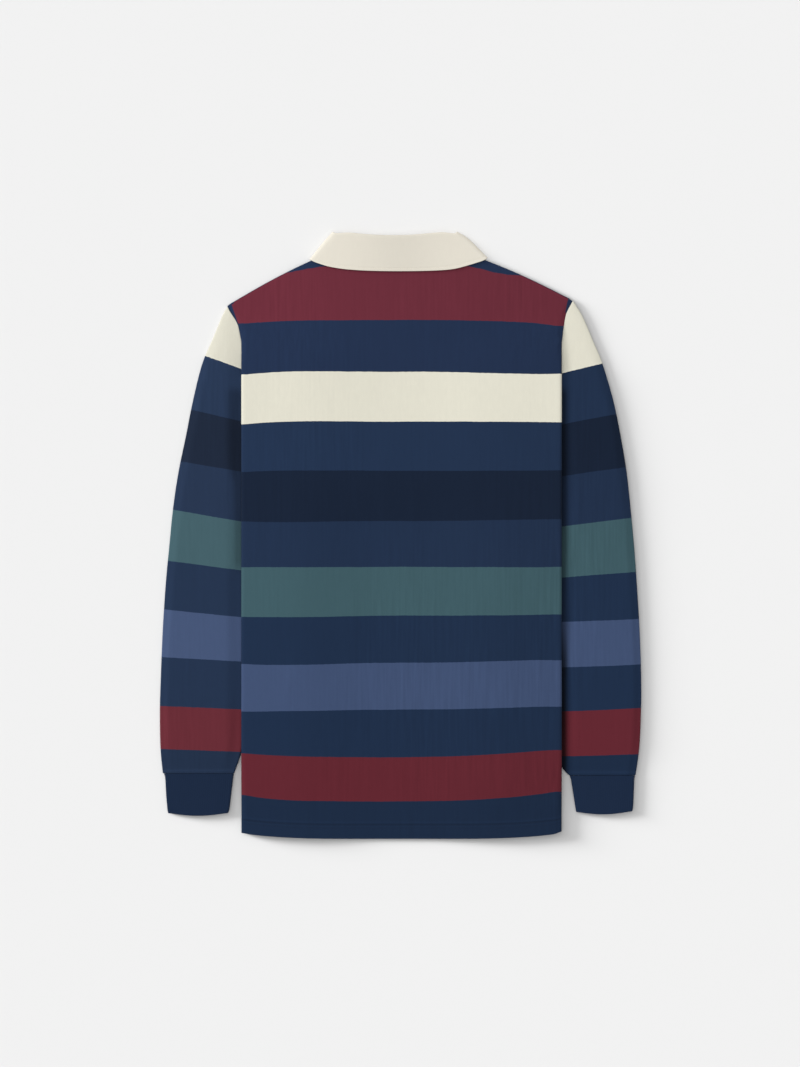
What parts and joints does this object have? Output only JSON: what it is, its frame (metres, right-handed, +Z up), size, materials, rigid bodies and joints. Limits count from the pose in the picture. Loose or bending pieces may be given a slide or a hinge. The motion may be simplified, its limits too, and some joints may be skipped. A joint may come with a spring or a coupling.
{
  "type": "long-sleeved polo shirt",
  "caption": "Long-sleeved polo shirt in block-striped jersey with a turned-down collar, laid flat with its back up and its sides tucked under.",
  "frame": {"origin": "middle of the garment's outline, on the surface it lies on", "axes": "+Z up away from the surface, +Y from the hem towards the collar, +X to the right seen from above"},
  "size_m": [0.606, 0.764, 0.0114],
  "materials": {
    "back_jersey": "cotton jersey in wide block stripes",
    "front_jersey": "cotton jersey in wide block stripes",
    "sleeve_jersey": "cotton jersey in wide block stripes",
    "cuff_rib": "fine rib knit",
    "collar_twill": "cotton twill",
    "placket_twill": "cotton twill",
    "button": "smooth button"
  },
  "bodies": {
    "root": {"back_panel": "back_jersey", "front_panel": "front_jersey", "sleeve_left": "sleeve_jersey", "sleeve_right": "sleeve_jersey", "cuff_left": "cuff_rib", "cuff_right": "cuff_rib", "collar_fall": "collar_twill", "collar_stand": "collar_twill", "placket": "placket_twill", "button_1": "button", "button_2": "button", "button_3": "button"}
  },
  "joints": []
}
